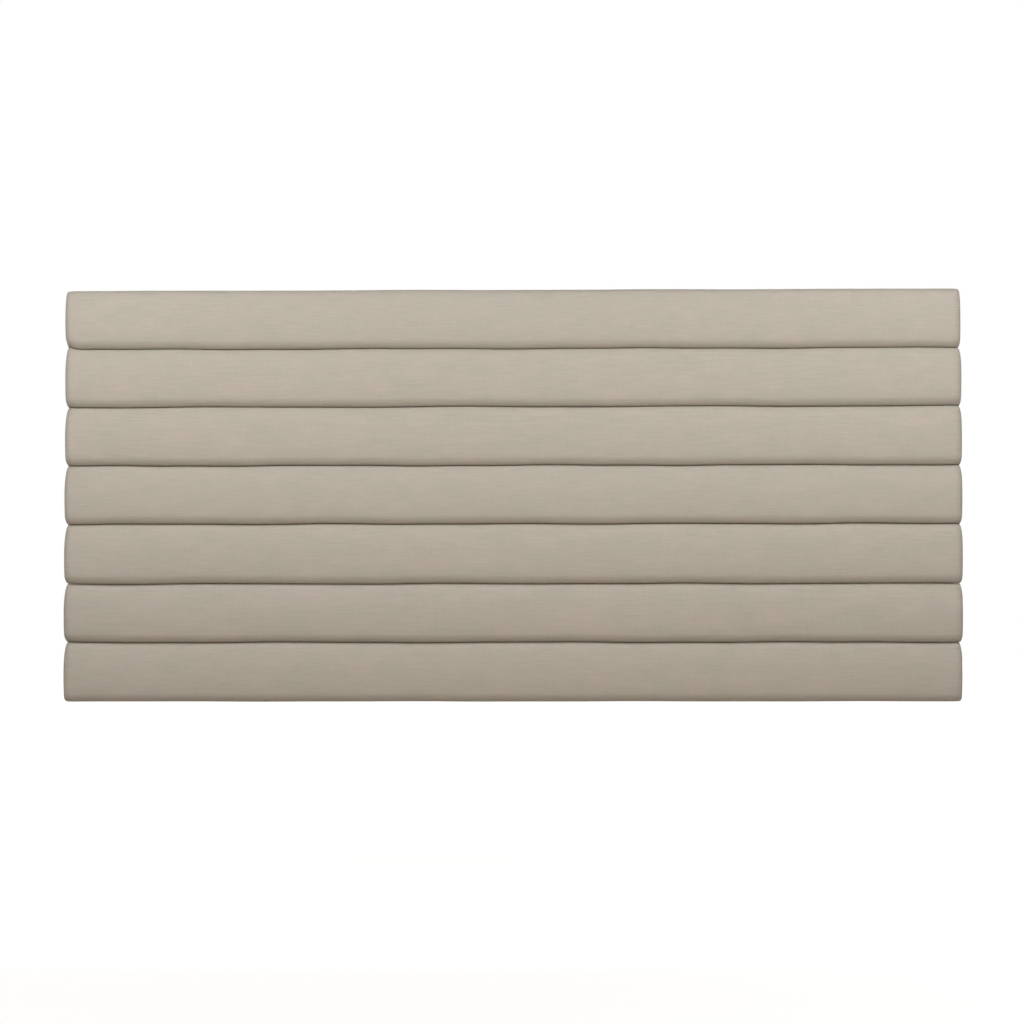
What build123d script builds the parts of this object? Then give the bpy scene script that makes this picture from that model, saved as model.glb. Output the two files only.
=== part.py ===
from build123d import *
import math
import os

# Wall-hung headboard: seven padded planks screwed to a pine frame, which hooks onto an aluminium wall rail.
# The wall is the plane Y = 0, the front faces -Y, X runs to the right and Z is up.
# The origin is the centre of the wall rail's back face. A depth is a distance from the wall towards the front.

# Padded planks
panel_width = 1980.0  # across the planks' rounded ends
plank_count = 7
plank_pitch = 129.7  # from one seam to the next
seam_gap = 0.4  # between two neighbouring covers
fabric_thickness = 1.0
wadding_thickness = 4.0
layer_gap = 0.2  # play between fabric, wadding and foam
foam_thickness = 40.0  # at the crown
edge_radius = 20.0  # of the cover's long front edges
crown_radius = 220.0  # of the cover's front face, across a plank
end_radius = 16.0  # of the cover's short front edges
corner_length = 7.0  # of a cover's rounded corner along the plank, seen from the front
corner_height = 26.0  # of that corner across the plank
end_steps = 5  # of each rounded end
board_thickness = 12.0
board_end_inset = 3.0  # from the foam's end to the board's end
board_corner_radius = 12.0
cover_flange = 26.0  # of the cover turned over the back of its board

# Pine frame
frame_inset = 15.0  # from the panel's outline to the pine
frame_stock = 90.0  # width of the rails and stiles
frame_thickness = 20.0
inner_stile_count = 3
corner_block_leg = 70.0
corner_block_tip = 6.0  # blunt end of each leg
dowel_radius = 4.0
dowel_length = 50.0
dowel_spacing = 44.0
dowel_play = 0.1  # round the dowel and past its ends

# Screws and staples
bite_play = 0.05  # between a screw and the hole that it bites in
shank_play = 0.3  # between a screw and the hole that it passes through
plank_screw_radius = 2.0
plank_screw_length = 30.0
plank_screw_head_radius = 4.0
plank_screw_spacing = 44.0  # between the two screws across one plank
countersink_angle = 82.0
rail_screw_radius = 2.1
rail_screw_length = 18.0
rail_screw_head_radius = 4.2
rail_screw_head_height = 2.4
rail_screw_head_rim = 0.9
rail_screw_count = 10
rail_screw_margin = 76.2  # from the panel rail's end to its first screw
screw_tip = 4.0
recess_length = 4.6
recess_width = 1.3
recess_depth = 1.4
staple_crown = 10.0
staple_leg = 8.0
staple_point = 0.8
staple_wire_width = 1.2
staple_wire_thickness = 0.7
cover_staple_setback = 16.0  # from the edge of the cover
cover_staple_count = 10  # along one long edge
cover_staple_margin = 70.0  # from the cover's end to the first staple
dust_staple_setback = 4.0  # from the dust cover's edge
dust_staple_count = 30  # along the top and along the foot
dust_side_staple_count = 13
dust_staple_margin = 30.0  # from the dust cover's corner to the first staple

# Back finish
band_fold = 16.0  # of the edge band turned over the frame's back
dust_cover_thickness = 0.5
dust_cover_inset = 8.0  # from the edge band's outside
step_play = 0.3  # between the edge band's fold and the dust cover's step
fold_clearance = 5.0  # from the edge band's fold to the panel rail and the wall pads
pad_width = 60.0
pad_height = 40.0
pad_corner_radius = 5.0
pad_setback = 140.0  # from the frame's side to an outer pad's centre

# Interlocking aluminium rails
rail_sheet = 2.4
rail_play = 0.5  # each side of a seated lip
seat_gap = 0.3  # under a seated lip
rail_flange = 24.0
rail_lip = 12.0
rail_length = 1524.0
rail_corner_radius = 0.4
wall_hole_radius = 3.25
wall_hole_pitch = 406.4
wall_hole_count = 4

overrun = 1.0  # of a cut past the face that it opens

# Depths from the wall
rail_slot = rail_sheet + 2 * rail_play
rail_stack = rail_sheet + rail_slot + rail_play
frame_back = rail_stack + dust_cover_thickness
frame_front = frame_back + frame_thickness
board_back = frame_front + fabric_thickness
board_front = board_back + board_thickness
wadding_inset = fabric_thickness + layer_gap
foam_inset = wadding_inset + wadding_thickness + layer_gap
crown_depth = board_front + foam_thickness + foam_inset
band_back = frame_back - fabric_thickness
dust_rim_back = band_back - dust_cover_thickness

# Heights and half widths
rail_screw_height = rail_flange + rail_lip + seat_gap
fold_reach = band_fold - fabric_thickness  # of the edge band's fold over the pine
panel_top = rail_screw_height + rail_flange / 2 + fold_clearance + fold_reach + frame_inset
panel_bottom = panel_top - plank_count * plank_pitch
plank_half_height = (plank_pitch - seam_gap) / 2
plank_heights = [panel_top - (n + 0.5) * plank_pitch for n in range(plank_count)]
frame_half_width = panel_width / 2 - frame_inset
frame_half_height = (panel_top - panel_bottom) / 2 - frame_inset
frame_middle = (panel_top + panel_bottom) / 2
stile_half_length = frame_half_height - frame_stock
outer_stile_x = frame_half_width - frame_stock / 2
stile_pitch = 2 * outer_stile_x / (inner_stile_count + 1)
stile_places = [n * stile_pitch - outer_stile_x for n in range(inner_stile_count + 2)]
dust_half_width = frame_half_width + fabric_thickness - dust_cover_inset
dust_half_height = frame_half_height + fabric_thickness - dust_cover_inset
step_half_width = frame_half_width - fold_reach - step_play
step_half_height = frame_half_height - fold_reach - step_play
pad_height_place = frame_middle - frame_half_height + fold_reach + fold_clearance + pad_height / 2
pad_reach = frame_half_width - pad_setback

# Fastener places, as (x, z) seen from the front
plank_screw_places = [
    (x, height + side * plank_screw_spacing / 2)
    for height in plank_heights
    for x in stile_places
    for side in (-1, 1)
]
dowel_places = [
    (x + side * dowel_spacing / 2, frame_middle + end * stile_half_length)
    for end in (-1, 1)
    for x in stile_places
    for side in (-1, 1)
]


# Evenly spaced places either side of zero.
def spread(half_span, count):
    return [half_span * (2 * n / (count - 1) - 1) for n in range(count)]


rail_screw_places = [
    (x, rail_screw_height) for x in spread(rail_length / 2 - rail_screw_margin, rail_screw_count)
]
wall_hole_places = [
    (x, 0) for x in spread((wall_hole_count - 1) * wall_hole_pitch / 2, wall_hole_count)
]

os.makedirs("parts", exist_ok=True)


def save(piece, name):
    piece.part.label = name
    export_step(piece.part, f"parts/{name}.step")


def facing_front(depth):
    return Plane.XZ.offset(depth)


# Starting places of holes drilled from the wall's side, where the plane's own x runs the other way.
def drilled_from_back(depth, places):
    return [Plane.back.offset(-depth) * Location((-x, z)) for x, z in places]


# One padding layer of a plank: flat back, crowned face, rounded long edges, and ends that round over
# and draw in at their corners. Half of it is made and mirrored.
def padding_body(inset, back_depth):
    edge = edge_radius - inset
    crown = crown_radius - inset
    end = end_radius - inset
    with BuildPart() as body:
        for step in range(end_steps + 1):
            turn = step / end_steps * math.pi / 2
            from_tip = end * (1 - math.cos(turn))
            corner_share = 1 - min(from_tip / corner_length, 1)
            half_height = plank_half_height - inset
            half_height -= corner_height * (1 - math.sqrt(1 - corner_share**2))
            face = crown_depth - inset - end * (1 - math.sin(turn))
            crown_centre = face - crown
            edge_centre = crown_centre + math.sqrt((crown - edge) ** 2 - (half_height - edge) ** 2)
            lean = math.atan2(half_height - edge, edge_centre - crown_centre)
            bend = (lean + math.pi / 2) / 2
            shoulder_depth = crown_centre + crown * math.cos(lean)
            shoulder_z = crown * math.sin(lean)
            bend_depth = edge_centre + edge * math.cos(bend)
            bend_z = half_height - edge + edge * math.sin(bend)
            with BuildSketch(Plane.YZ.offset(panel_width / 2 - inset - from_tip)):
                with BuildLine():
                    Line((-back_depth, -half_height), (-back_depth, half_height))
                    Line((-back_depth, half_height), (-edge_centre, half_height))
                    ThreePointArc(
                        (-edge_centre, half_height),
                        (-bend_depth, bend_z),
                        (-shoulder_depth, shoulder_z),
                    )
                    ThreePointArc(
                        (-shoulder_depth, shoulder_z),
                        (-face, 0),
                        (-shoulder_depth, -shoulder_z),
                    )
                    ThreePointArc(
                        (-shoulder_depth, -shoulder_z),
                        (-bend_depth, -bend_z),
                        (-edge_centre, -half_height),
                    )
                    Line((-edge_centre, -half_height), (-back_depth, -half_height))
                make_face()
        loft(ruled=True)
        extrude(faces().sort_by(Axis.X)[0], amount=panel_width / 2 - end_radius)
        mirror(about=Plane.YZ)
    return body.part


# Fabric cover, a thin shell whose edges turn over the back of the board
with BuildPart() as cover:
    add(padding_body(0, frame_front))
    add(padding_body(fabric_thickness, board_back), mode=Mode.SUBTRACT)
    with BuildSketch(facing_front(frame_front - overrun)):
        Rectangle(panel_width - 2 * cover_flange, 2 * (plank_half_height - cover_flange))
    extrude(amount=fabric_thickness + 2 * overrun, mode=Mode.SUBTRACT)

# Polyester wadding over the foam's face and sides, open at the back
with BuildPart() as wadding:
    add(padding_body(wadding_inset, board_back))
    add(padding_body(foam_inset - layer_gap, board_back - overrun), mode=Mode.SUBTRACT)

# Foam block, flat against its board
with BuildPart() as foam:
    add(padding_body(foam_inset, board_front))

# Plywood board with rounded corners and blind pilot holes
with BuildPart() as board:
    with BuildSketch(facing_front(board_back)):
        RectangleRounded(
            panel_width - 2 * (foam_inset + board_end_inset),
            2 * (plank_half_height - foam_inset),
            board_corner_radius,
        )
    extrude(amount=board_thickness)
    pilot_places = [(x, side * plank_screw_spacing / 2) for x in stile_places for side in (-1, 1)]
    with Locations(*drilled_from_back(board_back, pilot_places)):
        Hole(
            plank_screw_radius + bite_play,
            depth=frame_back + plank_screw_length - board_back + bite_play,
        )

for n, height in enumerate(plank_heights, start=1):
    for layer, name in ((cover, "cover"), (wadding, "wadding"), (foam, "foam"), (board, "board")):
        with BuildPart() as placed:
            with Locations((0, 0, height)):
                add(layer.part)
        save(placed, f"plank_{n}_{name}")


# Rail or stile of the frame, with the dowel, plank screw and pilot holes that reach it.
def frame_member(x, z, width, height):
    def reaching(places, reach):
        return [
            (hole_x, hole_z)
            for hole_x, hole_z in places
            if abs(hole_x - x) < width / 2 + reach and abs(hole_z - z) < height / 2 + reach
        ]

    with BuildPart() as member:
        with BuildSketch(facing_front(frame_back)):
            with Locations((x, z)):
                Rectangle(width, height)
        extrude(amount=frame_thickness)
        dowel_depth = (frame_back + frame_front) / 2
        with Locations(*[(a, -dowel_depth, b) for a, b in reaching(dowel_places, dowel_radius)]):
            Cylinder(
                dowel_radius + dowel_play, dowel_length + 2 * dowel_play, mode=Mode.SUBTRACT
            )
        screws = reaching(plank_screw_places, plank_screw_head_radius)
        with Locations(*drilled_from_back(frame_back, screws)):
            CounterSinkHole(
                plank_screw_radius + shank_play,
                plank_screw_head_radius + bite_play,
                depth=frame_thickness + overrun,
                counter_sink_angle=countersink_angle,
            )
        pilots = reaching(rail_screw_places, rail_screw_radius)
        if pilots:
            with Locations(*drilled_from_back(frame_back, pilots)):
                Hole(
                    rail_screw_radius + bite_play,
                    depth=rail_screw_length - rail_sheet - dust_cover_thickness + bite_play,
                )
    return member


for side, name in ((1, "top"), (-1, "bottom")):
    rail_z = frame_middle + side * (frame_half_height - frame_stock / 2)
    save(frame_member(0, rail_z, 2 * frame_half_width, frame_stock), f"frame_{name}_rail")

for n, x in enumerate(stile_places, start=1):
    save(frame_member(x, frame_middle, frame_stock, 2 * stile_half_length), f"frame_stile_{n}")

# Triangular blocks glued into the frame's four inner corners
with BuildPart() as corner_block:
    with BuildSketch(facing_front(frame_back)):
        with BuildLine():
            Polyline(
                (0, 0),
                (corner_block_leg, 0),
                (corner_block_leg, corner_block_tip),
                (corner_block_tip, corner_block_leg),
                (0, corner_block_leg),
                close=True,
            )
        make_face()
    extrude(amount=frame_thickness)

corner_x = outer_stile_x - frame_stock / 2
for end, end_name in ((1, "top"), (-1, "bottom")):
    for side, side_name in ((-1, "left"), (1, "right")):
        block_turn = {(1, -1): 90, (1, 1): 180, (-1, -1): 0, (-1, 1): -90}[end, side]
        corner = Location(
            (side * corner_x, 0, frame_middle + end * stile_half_length), (0, block_turn, 0)
        )
        with BuildPart() as placed_block:
            with Locations(corner):
                add(corner_block.part)
        save(placed_block, f"corner_block_{end_name}_{side_name}")

# Beech dowels between rails and stiles
with BuildPart() as dowels:
    with Locations(*[(x, -(frame_back + frame_front) / 2, z) for x, z in dowel_places]):
        Cylinder(dowel_radius, dowel_length)
save(dowels, "frame_dowels")

# Countersunk screw, head flush at the origin and tip towards the front
plank_screw_head_height = (plank_screw_head_radius - plank_screw_radius) / math.tan(
    math.radians(countersink_angle / 2)
)
with BuildPart() as plank_screw:
    with BuildSketch():
        with BuildLine():
            Polyline(
                (0, 0),
                (plank_screw_head_radius, 0),
                (plank_screw_radius, -plank_screw_head_height),
                (plank_screw_radius, screw_tip - plank_screw_length),
                (0, -plank_screw_length),
                close=True,
            )
        make_face()
    revolve(axis=Axis.Y)
    Box(recess_length, 2 * recess_depth, recess_width, mode=Mode.SUBTRACT)
    Box(recess_width, 2 * recess_depth, recess_length, mode=Mode.SUBTRACT)

with BuildPart() as plank_screws:
    with Locations(*[(x, -frame_back, z) for x, z in plank_screw_places]):
        add(plank_screw.part)
save(plank_screws, "plank_screws")

# Pan-head screw, seated at the origin with its tip towards the front
dome = rail_screw_head_height - rail_screw_head_rim
dome_radius = (rail_screw_head_radius**2 + dome**2) / (2 * dome)
dome_lean = math.asin(rail_screw_head_radius / dome_radius) / 2
with BuildPart() as rail_screw:
    with BuildSketch():
        with BuildLine():
            Polyline(
                (0, rail_screw_head_height),
                (0, -rail_screw_length),
                (rail_screw_radius, screw_tip - rail_screw_length),
                (rail_screw_radius, 0),
                (rail_screw_head_radius, 0),
                (rail_screw_head_radius, rail_screw_head_rim),
            )
            ThreePointArc(
                (rail_screw_head_radius, rail_screw_head_rim),
                (
                    dome_radius * math.sin(dome_lean),
                    rail_screw_head_height - dome_radius * (1 - math.cos(dome_lean)),
                ),
                (0, rail_screw_head_height),
            )
        make_face()
    revolve(axis=Axis.Y)
    with Locations((0, rail_screw_head_height, 0)):
        Box(recess_length, 2 * recess_depth, recess_width, mode=Mode.SUBTRACT)
        Box(recess_width, 2 * recess_depth, recess_length, mode=Mode.SUBTRACT)

with BuildPart() as rail_screws:
    with Locations(*[(x, rail_sheet - rail_stack, z) for x, z in rail_screw_places]):
        add(rail_screw.part)
save(rail_screws, "panel_rail_screws")

# Upholstery staple, crown along X with its outside at the origin, legs towards the front
with BuildPart() as staple:
    with BuildSketch():
        with BuildLine():
            outside = staple_crown / 2
            inside = outside - staple_wire_thickness
            Polyline(
                (-outside, 0),
                (outside, 0),
                (outside, staple_point - staple_leg),
                (inside, -staple_leg),
                (inside, -staple_wire_thickness),
                (-inside, -staple_wire_thickness),
                (-inside, -staple_leg),
                (-outside, staple_point - staple_leg),
                close=True,
            )
        make_face()
    extrude(amount=staple_wire_width / 2, both=True)


# Rows of staples round a rectangle, long rows first.
def staple_ring(depth, middle_z, row_x, row_z, long_places, short_places):
    level = [
        Location((x, -depth, middle_z + side * row_z)) for side in (-1, 1) for x in long_places
    ]
    upright = [
        Location((side * row_x, -depth, middle_z + z), (0, 90, 0))
        for side in (-1, 1)
        for z in short_places
    ]
    return level + upright


# Two staples hold each end of a cover, one board screw apart.
cover_staple_rings = [
    place
    for height in plank_heights
    for place in staple_ring(
        frame_front,
        height,
        panel_width / 2 - cover_staple_setback,
        plank_half_height - cover_staple_setback,
        spread(panel_width / 2 - cover_staple_margin, cover_staple_count),
        spread(plank_screw_spacing / 2, 2),
    )
]
with BuildPart() as cover_staples:
    with Locations(*cover_staple_rings):
        add(staple.part)
save(cover_staples, "cover_staples")

dust_staple_ring = staple_ring(
    dust_rim_back - staple_wire_thickness,
    frame_middle,
    dust_half_width - dust_staple_setback,
    dust_half_height - dust_staple_setback,
    spread(dust_half_width - dust_staple_margin, dust_staple_count),
    spread(dust_half_height - dust_staple_margin, dust_side_staple_count),
)
with BuildPart() as dust_cover_staples:
    with Locations(*dust_staple_ring):
        add(staple.part)
save(dust_cover_staples, "dust_cover_staples")

# Linen edge bands over the frame's outer edges, each with a fold over the frame's back
for side, name in ((1, "top"), (-1, "bottom")):
    edge_z = frame_middle + side * frame_half_height
    with BuildPart() as level_band:
        with BuildSketch(facing_front(band_back)):
            with Locations((0, edge_z + side * fabric_thickness / 2)):
                Rectangle(2 * (frame_half_width + fabric_thickness), fabric_thickness)
        extrude(amount=fabric_thickness + frame_thickness)
        with BuildSketch(facing_front(band_back)):
            with Locations((0, edge_z - side * fold_reach / 2)):
                Rectangle(2 * frame_half_width, fold_reach)
        extrude(amount=fabric_thickness)
    save(level_band, f"edge_band_{name}")

for side, name in ((-1, "left"), (1, "right")):
    edge_x = side * frame_half_width
    with BuildPart() as upright_band:
        with BuildSketch(facing_front(band_back)):
            with Locations((edge_x + side * fabric_thickness / 2, frame_middle)):
                Rectangle(fabric_thickness, 2 * frame_half_height)
        extrude(amount=fabric_thickness + frame_thickness)
        with BuildSketch(facing_front(band_back)):
            with Locations((edge_x - side * fold_reach / 2, frame_middle)):
                Rectangle(fold_reach, 2 * (frame_half_height - fold_reach))
        extrude(amount=fabric_thickness)
    save(upright_band, f"edge_band_{name}")

# Dust cover, flat on the frame's back and stepped over the edge bands' folds
with BuildPart() as dust_cover:
    with BuildSketch(facing_front(dust_rim_back)):
        with Locations((0, frame_middle)):
            Rectangle(2 * dust_half_width, 2 * dust_half_height)
    extrude(amount=dust_cover_thickness)
    with BuildSketch(facing_front(dust_rim_back)):
        with Locations((0, frame_middle)):
            Rectangle(2 * step_half_width, 2 * step_half_height)
    extrude(amount=frame_back - dust_rim_back)
    with BuildSketch(facing_front(dust_rim_back - overrun)):
        with Locations((0, frame_middle)):
            Rectangle(
                2 * (step_half_width - dust_cover_thickness),
                2 * (step_half_height - dust_cover_thickness),
            )
    extrude(amount=rail_stack - dust_rim_back + overrun, mode=Mode.SUBTRACT)
    with Locations(*drilled_from_back(rail_stack, rail_screw_places)):
        Hole(rail_screw_radius + shank_play, depth=dust_cover_thickness + overrun)
save(dust_cover, "dust_cover")

# Felt pads that hold the foot of the panel off the wall
for x, name in ((-pad_reach, "left"), (0, "middle"), (pad_reach, "right")):
    with BuildPart() as wall_pad:
        with BuildSketch(facing_front(0)):
            with Locations((x, pad_height_place)):
                RectangleRounded(pad_width, pad_height, pad_corner_radius)
        extrude(amount=rail_stack)
    save(wall_pad, f"wall_pad_{name}")

# Interlocking rail: flange against the wall, web on top of it, lip standing in front of a slot
with BuildPart() as rail:
    with BuildSketch(Plane.YZ):
        with BuildLine():
            flange = rail_flange / 2
            lip_back = rail_slot
            lip_front = rail_slot + rail_sheet
            Polyline(
                (0, -flange),
                (-rail_sheet, -flange),
                (-rail_sheet, flange - rail_sheet),
                (-lip_front, flange - rail_sheet),
                (-lip_front, flange + rail_lip),
                (-lip_back, flange + rail_lip),
                (-lip_back, flange),
                (0, flange),
                close=True,
            )
        make_face()
        fillet(vertices(), rail_corner_radius)
    extrude(amount=rail_length / 2, both=True)

with BuildPart() as wall_rail:
    add(rail.part)
    with Locations(*drilled_from_back(-overrun, wall_hole_places)):
        Hole(wall_hole_radius, depth=rail_sheet + 2 * overrun)
save(wall_rail, "wall_hanging_rail")

with BuildPart() as panel_rail:
    with Locations(Location((0, -rail_stack, rail_screw_height), (180, 0, 0))):
        add(rail.part)
    with Locations(*drilled_from_back(rail_stack - rail_sheet - overrun, rail_screw_places)):
        Hole(rail_screw_radius + shank_play, depth=rail_sheet + 2 * overrun)
save(panel_rail, "panel_hanging_rail")
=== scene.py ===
import math

import bpy
import numpy as np
from mathutils import Euler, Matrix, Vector


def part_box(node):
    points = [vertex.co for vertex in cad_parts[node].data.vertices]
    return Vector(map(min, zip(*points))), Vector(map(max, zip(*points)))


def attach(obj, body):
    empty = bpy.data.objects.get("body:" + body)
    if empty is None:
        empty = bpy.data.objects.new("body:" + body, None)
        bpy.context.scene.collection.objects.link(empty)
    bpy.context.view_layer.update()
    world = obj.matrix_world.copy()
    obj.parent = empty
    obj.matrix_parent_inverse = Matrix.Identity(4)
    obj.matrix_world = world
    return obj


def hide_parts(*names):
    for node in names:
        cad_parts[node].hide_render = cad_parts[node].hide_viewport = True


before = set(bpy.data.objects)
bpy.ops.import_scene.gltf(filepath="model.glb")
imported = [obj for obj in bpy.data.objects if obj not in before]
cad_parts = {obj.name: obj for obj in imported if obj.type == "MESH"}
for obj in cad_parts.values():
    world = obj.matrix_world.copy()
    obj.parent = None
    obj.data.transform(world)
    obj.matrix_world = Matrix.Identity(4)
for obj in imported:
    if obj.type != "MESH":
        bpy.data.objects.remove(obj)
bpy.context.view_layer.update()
mm = 0.001
quarterTurn = math.pi / 2
white = (1, 1, 1, 1)

# Measures read from the CAD frame. Plank 1 is the top one, the front faces -Y, and a depth is -Y.
plankCount = sum(1 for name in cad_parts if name.endswith("_foam"))
stileCount = sum(1 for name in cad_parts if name.startswith("frame_stile_"))
coverBoxes = [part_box(f"plank_{n + 1}_cover") for n in range(plankCount)]
plankMiddles = [(low[2] + high[2]) / 2 for low, high in coverBoxes]
halfWidth = coverBoxes[0][1][0]
halfHeight = (coverBoxes[0][1][2] - coverBoxes[0][0][2]) / 2
crownDepth = -coverBoxes[0][0][1]
boardFront = -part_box("plank_1_board")[0][1]
print("frame read:", plankCount, "planks")

# Unevenness that comes out the same each run: every use has its own seed, or its own run of seeds
seeds = {"seam": 40, "swell": 100, "tilt": 200, "topPucker": 300, "bottomPucker": 400,
         "band": 500, "crease": 600, "crossCrease": 601}
waveStretch = (0.8, 1.25)  # how much shorter or longer than its given length a wave may come out
weldDecimals = 6  # of a metre: points that are the same to a thousandth of a millimetre become one


# Helpers for materials

def hexColour(text):  # sRGB hex to the linear colour that a shader takes
    parts = [int(text[i:i + 2], 16) / 255 for i in (0, 2, 4)]
    return [c / 12.92 if c <= 0.04045 else ((c + 0.055) / 1.055) ** 2.4 for c in parts] + [1]


# links: a socket's name or number, and its value or source. stops: (place, hex colour) along a colour ramp.
def addNode(tree, kind, links=None, stops=(), **settings):
    node = tree.nodes.new("ShaderNode" + kind)
    for name, value in settings.items():
        setattr(node, name, value)
    for number, (place, text) in enumerate(stops):
        elements = node.color_ramp.elements
        stop = elements[number] if number < len(elements) else elements.new(place)
        stop.position = place
        stop.color = hexColour(text)
    for socket, value in (links or {}).items():
        if isinstance(value, bpy.types.NodeSocket):
            tree.links.new(value, node.inputs[socket])
        else:
            node.inputs[socket].default_value = value
    return node


def newMaterial(name, **surface):  # surface: values for the shader's own sockets, the same all over
    material = bpy.data.materials.new(name)
    material.use_nodes = True
    shader = material.node_tree.nodes["Principled BSDF"]
    for socket, value in surface.items():
        shader.inputs[socket.replace("_", " ")].default_value = value
    return material, material.node_tree, shader


def connect(tree, shader, **sources):  # sources: the pattern that feeds each of the shader's sockets
    for socket, source in sources.items():
        tree.links.new(source, shader.inputs[socket.replace("_", " ")])


def mottle(tree, place, sizes, detail=2.0, roughness=0.55):  # sizes: a blotch's length along X, Y and Z
    scaled = addNode(tree, "Mapping", {"Vector": place, "Scale": [1 / size for size in sizes]})
    noise = addNode(tree, "TexNoise", {
        "Vector": scaled.outputs["Vector"], "Scale": 1.0, "Detail": detail, "Roughness": roughness})
    return noise.outputs["Fac"]


def waveScale(spacing):  # at a scale of 1, the wave texture runs through 20 radians in a metre
    return 2 * math.pi / (20 * spacing)


# Helpers for meshes

def waves(x, seed, *parts):  # parts: (wavelength, height) pairs
    random = np.random.default_rng(seed)
    total = np.zeros_like(x)
    for length, height in parts:
        stretch, phase = random.uniform(*waveStretch), random.uniform(0, 2 * math.pi)
        total = total + height * np.sin(2 * math.pi * x / (length * stretch) + phase)
    return total


def smoothStep(x):
    x = np.clip(x, 0, 1)
    return x * x * (3 - 2 * x)


def arcLengths(line):  # how far along a line of points each one lies
    return np.concatenate([[0], np.cumsum(np.hypot(*np.diff(np.array(line), axis=0).T))])


def gridFaces(rows, columns, start=0):  # the normal is the rows' direction crossed with the columns'
    return [
        (start + r * columns + c, start + (r + 1) * columns + c,
         start + (r + 1) * columns + c + 1, start + r * columns + c + 1)
        for r in range(rows - 1) for c in range(columns - 1)
    ]


def meshPiece(name, points, faces, material, cloth=None):  # cloth: each point's place on flat fabric
    points = np.asarray(points, float)
    _, first, twin = np.unique(
        np.round(points, weldDecimals), axis=0, return_index=True, return_inverse=True)
    twin = twin.ravel()
    keptFaces, corners = [], []
    for face in faces:  # points that fall together are welded, and a quad that loses one is a triangle
        ring = [(twin[i], i) for n, i in enumerate(face) if twin[i] != twin[face[n - 1]]]
        if len({real for real, _ in ring}) > 2:
            keptFaces.append([int(real) for real, _ in ring])
            corners += [i for _, i in ring]
    mesh = bpy.data.meshes.new(name)
    mesh.from_pydata([tuple(points[i]) for i in first], [], keptFaces)
    if cloth is not None:
        layer = mesh.attributes.new("clothPlace", "FLOAT_VECTOR", "CORNER")
        layer.data.foreach_set("vector", np.asarray(cloth, float)[corners].ravel())
    mesh.update()
    mesh.shade_smooth()
    mesh.materials.append(material)
    piece = bpy.data.objects.new(name, mesh)
    bpy.context.collection.objects.link(piece)
    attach(piece, "panel")
    return piece


def thicken(piece, thickness, offset=-1):  # -1 keeps the surface where it is and grows inwards
    solid = piece.modifiers.new("thickness", "SOLIDIFY")
    solid.thickness = thickness
    solid.offset = offset
    bpy.context.view_layer.objects.active = piece
    bpy.ops.object.modifier_apply(modifier=solid.name)


def movePoints(piece, move):  # move: a function of the points' places as an array, giving the new places
    count = len(piece.data.vertices)
    places = np.empty(count * 3)
    piece.data.vertices.foreach_get("co", places)
    piece.data.vertices.foreach_set("co", move(places.reshape(count, 3)).ravel())
    piece.data.update()


# The camera stands as the photograph's did: nearly square on, a little to the right, with a long lens

cameraLook = {
    "lens": 94.7, "sensor": 36,  # mm
    "place": (0.109, -6.0, -0.638),  # metres
    "turn": (92.22, 0.045, 1.05),  # degrees
    "sight": 60,  # metres, past the floor's far edge
}
camera = bpy.data.objects.new("camera", bpy.data.cameras.new("camera"))
camera.data.lens = cameraLook["lens"]
camera.data.sensor_width = cameraLook["sensor"]
camera.data.clip_end = cameraLook["sight"]
camera.location = cameraLook["place"]
camera.rotation_euler = Euler([math.radians(angle) for angle in cameraLook["turn"]])
bpy.context.collection.objects.link(camera)
bpy.context.scene.camera = camera
print("camera set")

# Linen, plain weave, piece-dyed oatmeal: matte flax yarns whose slubs show as faint streaks both ways

linenLook = {
    "colours": ((0.3, "bab4a6"), (0.5, "bdb5a8"), (0.7, "c1b6aa")),  # the dye takes a little unevenly
    # Along the plank, up it, and along the shift that sets one plank's linen apart from the next
    "cloud": (70 * mm, 34 * mm, 1), "slub": (46 * mm, 3.2 * mm, 1), "crossSlub": (3.2 * mm, 26 * mm, 1),
    "crossShare": 0.45,  # how strong the upright slubs are beside the level ones
    "streakRange": (0.42, 1.03),  # where the sum of both mostly lies
    "contrast": 0.07,  # how much lighter and darker the slubs are
    "thread": 1.4 * mm,  # real yarns lie about 0.6 mm apart and would not show, so they are drawn coarser
    "wander": 2.0,  # how far the yarns run out of line
    "slubRelief": 0.08 * mm, "threadRelief": 0.025 * mm,
}


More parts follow.
